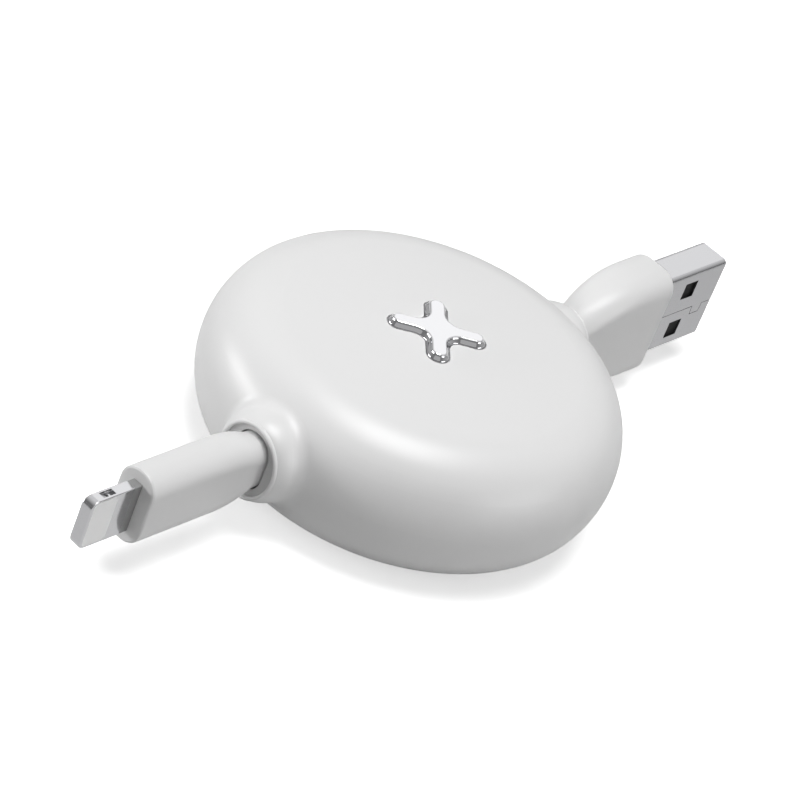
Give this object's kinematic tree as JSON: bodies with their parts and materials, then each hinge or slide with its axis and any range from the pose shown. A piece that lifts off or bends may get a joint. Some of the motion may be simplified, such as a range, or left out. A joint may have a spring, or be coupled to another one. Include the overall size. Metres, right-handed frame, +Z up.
{
  "type": "retractable charging cable",
  "caption": "Pocket charging cable on a spring reel: a round white pod with a chrome cross badge and a plug drawn home on each side.",
  "frame": {"origin": "centre of the underside's flat, on the reel's axis", "axes": "+Z up along the reel's axis out of the crown, +X along the outlets towards the USB plug"},
  "size_m": [0.1117, 0.0522, 0.0206],
  "materials": {
    "pod_white": "gloss white ABS",
    "badge_chrome": "bright chrome plate on ABS",
    "bush_grey": "satin grey",
    "arbor_acetal": "natural acetal",
    "screw_steel": "zinc plated",
    "reel_white": "moulded, satin",
    "spring_steel": "blued spring steel",
    "cable_white": "satin white TPE",
    "plug_white": "soft satin white TPE",
    "inner_mould": "potted board",
    "plug_nickel": "nickel-plated sheet, bright",
    "tongue_black": "satin black",
    "contact_gold": "gold plated",
    "collar_grey": "satin grey",
    "tab_steel": "polished",
    "pad_pale": "satin pale grey"
  },
  "bodies": {
    "housing": {"upper_shell": "pod_white", "lower_shell": "pod_white", "cross_badge": "badge_chrome", "usb_outlet_bush": "bush_grey", "phone_outlet_bush": "bush_grey", "arbor": "arbor_acetal", "centre_screw": "screw_steel", "pawl_spring": "spring_steel", "usb_lead": "cable_white", "phone_lead": "cable_white"},
    "reel": {"reel": "reel_white", "reel_cap": "reel_white", "spring_cover": "reel_white", "power_spring": "spring_steel", "wound_cable": "cable_white"},
    "pawl": {"pawl": "arbor_acetal"},
    "usb_plug": {"usb_overmould": "plug_white", "usb_inner_mould": "inner_mould", "usb_shell": "plug_nickel", "usb_tongue": "tongue_black", "usb_contact_1": "contact_gold", "usb_contact_2": "contact_gold", "usb_contact_3": "contact_gold", "usb_contact_4": "contact_gold"},
    "phone_plug": {"phone_overmould": "plug_white", "phone_inner_mould": "inner_mould", "phone_collar": "collar_grey", "phone_tab": "tab_steel", "phone_pad_front": "pad_pale", "phone_pad_rear": "pad_pale"}
  },
  "joints": [
    {"name": "reel_spin", "type": "hinge", "parent": "housing", "child": "reel", "pos_m": [0, 0, 0.0098], "axis": [0, 0, 1], "range_deg": [0, 1260], "stiffness_Nm_per_rad": 0.0007, "springref_deg": -974.03, "deforming": ["power_spring", "usb_lead", "phone_lead"]},
    {"name": "usb_slide", "type": "slide", "parent": "housing", "child": "usb_plug", "axis": [1, 0, 0], "range_m": [0, 0.3445]},
    {"name": "phone_slide", "type": "slide", "parent": "housing", "child": "phone_plug", "axis": [-1, 0, 0], "range_m": [0, 0.3445]},
    {"name": "pawl_swing", "type": "hinge", "parent": "housing", "child": "pawl", "pos_m": [0.00889, 0.0127, 0.0098], "axis": [0, 0, 1], "range_deg": [0, 11], "deforming": ["pawl_spring"]}
  ],
  "couplings": [
    {"joint": "usb_slide", "follows": "reel_spin", "m_per_rad": 0.015643},
    {"joint": "phone_slide", "follows": "reel_spin", "m_per_rad": 0.015643}
  ]
}
